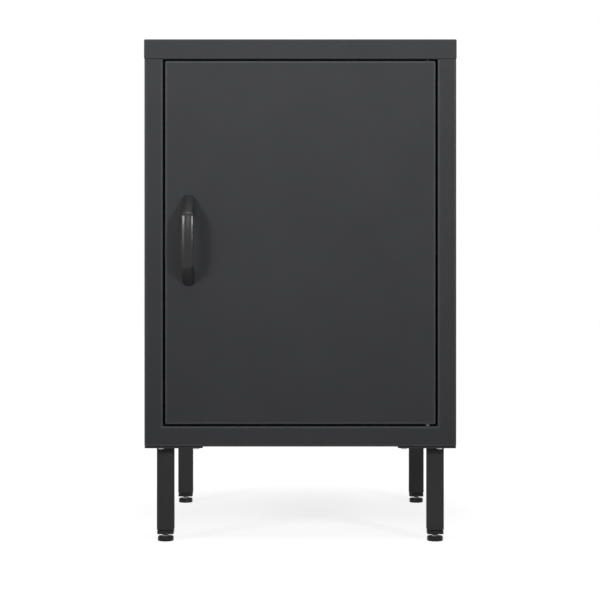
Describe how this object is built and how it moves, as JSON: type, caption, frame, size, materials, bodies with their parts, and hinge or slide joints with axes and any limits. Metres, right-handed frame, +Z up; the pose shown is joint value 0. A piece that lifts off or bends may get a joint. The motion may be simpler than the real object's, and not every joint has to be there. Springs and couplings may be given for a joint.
{
  "type": "metal storage locker",
  "caption": "Small free-standing steel storage locker with an inset hinged door, arched pull handle and square-tube legs on levelling feet.",
  "frame": {"origin": "on the floor, under the middle of the whole object's box, handle included", "axes": "+Z up; the door faces -Y; +X to the right as seen from the front, towards the door's hinge"},
  "size_m": [0.35, 0.4274, 0.5642],
  "materials": {
    "powder_coat": "fine matt powder coat, anthracite",
    "leg_coat": "matt powder coat, black",
    "handle_paint": "satin paint, anthracite",
    "black_plastic": "moulded, matt",
    "nylon": "moulded, natural",
    "rubber": "moulded",
    "zinc": "bright zinc plate",
    "ferrite": "sintered, dull"
  },
  "bodies": {
    "carcass": {"top_panel": "powder_coat", "body_shell": "powder_coat", "back_panel": "powder_coat", "floor_panel": "powder_coat", "shelf": "powder_coat", "top_pivot_pin": "zinc", "bottom_pivot_pin": "zinc", "magnet_catch": "black_plastic", "catch_magnet": "ferrite", "door_buffer_left": "rubber", "door_buffer_right": "rubber", "shelf_upright_front_left": "powder_coat", "shelf_clip_front_left": "zinc", "shelf_upright_front_right": "powder_coat", "shelf_clip_front_right": "zinc", "shelf_upright_rear_left": "powder_coat", "shelf_clip_rear_left": "zinc", "shelf_upright_rear_right": "powder_coat", "shelf_clip_rear_right": "zinc", "leg_plate_front_left": "leg_coat", "leg_tube_front_left": "leg_coat", "leg_end_cap_front_left": "black_plastic", "leg_screw_front_left_near": "zinc", "leg_screw_front_left_far": "zinc", "leg_plate_front_right": "leg_coat", "leg_tube_front_right": "leg_coat", "leg_end_cap_front_right": "black_plastic", "leg_screw_front_right_near": "zinc", "leg_screw_front_right_far": "zinc", "leg_plate_rear_right": "leg_coat", "leg_tube_rear_right": "leg_coat", "leg_end_cap_rear_right": "black_plastic", "leg_screw_rear_right_near": "zinc", "leg_screw_rear_right_far": "zinc", "leg_plate_rear_left": "leg_coat", "leg_tube_rear_left": "leg_coat", "leg_end_cap_rear_left": "black_plastic", "leg_screw_rear_left_near": "zinc", "leg_screw_rear_left_far": "zinc"},
    "door": {"door_panel": "powder_coat", "door_stiffener": "powder_coat", "handle": "handle_paint", "handle_screw_upper": "zinc", "handle_screw_lower": "zinc", "door_bush_top": "nylon", "door_bush_bottom": "nylon"},
    "foot_front_left": {"foot_stem_front_left": "zinc"},
    "pad_front_left": {"foot_pad_front_left": "black_plastic"},
    "foot_front_right": {"foot_stem_front_right": "zinc"},
    "pad_front_right": {"foot_pad_front_right": "black_plastic"},
    "foot_rear_right": {"foot_stem_rear_right": "zinc"},
    "pad_rear_right": {"foot_pad_rear_right": "black_plastic"},
    "foot_rear_left": {"foot_stem_rear_left": "zinc"},
    "pad_rear_left": {"foot_pad_rear_left": "black_plastic"}
  },
  "joints": [
    {"name": "door_hinge", "type": "hinge", "parent": "carcass", "child": "door", "pos_m": [0.1429, -0.1807, 0.3366], "axis": [0, 0, 1], "range_deg": [0, 110]},
    {"name": "foot_slide_front_left", "type": "slide", "parent": "carcass", "child": "foot_front_left", "axis": [0, 0, -1], "range_m": [-0.0021, 0.01]},
    {"name": "foot_spin_front_left", "type": "hinge", "parent": "foot_front_left", "child": "pad_front_left", "pos_m": [-0.1522, -0.1643, 0], "axis": [0, 0, -1], "range_deg": [-605, 2881]},
    {"name": "foot_slide_front_right", "type": "slide", "parent": "carcass", "child": "foot_front_right", "axis": [0, 0, -1], "range_m": [-0.0021, 0.01]},
    {"name": "foot_spin_front_right", "type": "hinge", "parent": "foot_front_right", "child": "pad_front_right", "pos_m": [0.1522, -0.1643, 0], "axis": [0, 0, -1], "range_deg": [-605, 2881]},
    {"name": "foot_slide_rear_right", "type": "slide", "parent": "carcass", "child": "foot_rear_right", "axis": [0, 0, -1], "range_m": [-0.0021, 0.01]},
    {"name": "foot_spin_rear_right", "type": "hinge", "parent": "foot_rear_right", "child": "pad_rear_right", "pos_m": [0.1522, 0.1909, 0], "axis": [0, 0, -1], "range_deg": [-605, 2881]},
    {"name": "foot_slide_rear_left", "type": "slide", "parent": "carcass", "child": "foot_rear_left", "axis": [0, 0, -1], "range_m": [-0.0021, 0.01]},
    {"name": "foot_spin_rear_left", "type": "hinge", "parent": "foot_rear_left", "child": "pad_rear_left", "pos_m": [-0.1522, 0.1909, 0], "axis": [0, 0, -1], "range_deg": [-605, 2881]}
  ],
  "couplings": [
    {"joint": "foot_spin_front_left", "follows": "foot_slide_front_left", "rad_per_m": 5026.5},
    {"joint": "foot_spin_front_right", "follows": "foot_slide_front_right", "rad_per_m": 5026.5},
    {"joint": "foot_spin_rear_right", "follows": "foot_slide_rear_right", "rad_per_m": 5026.5},
    {"joint": "foot_spin_rear_left", "follows": "foot_slide_rear_left", "rad_per_m": 5026.5}
  ]
}
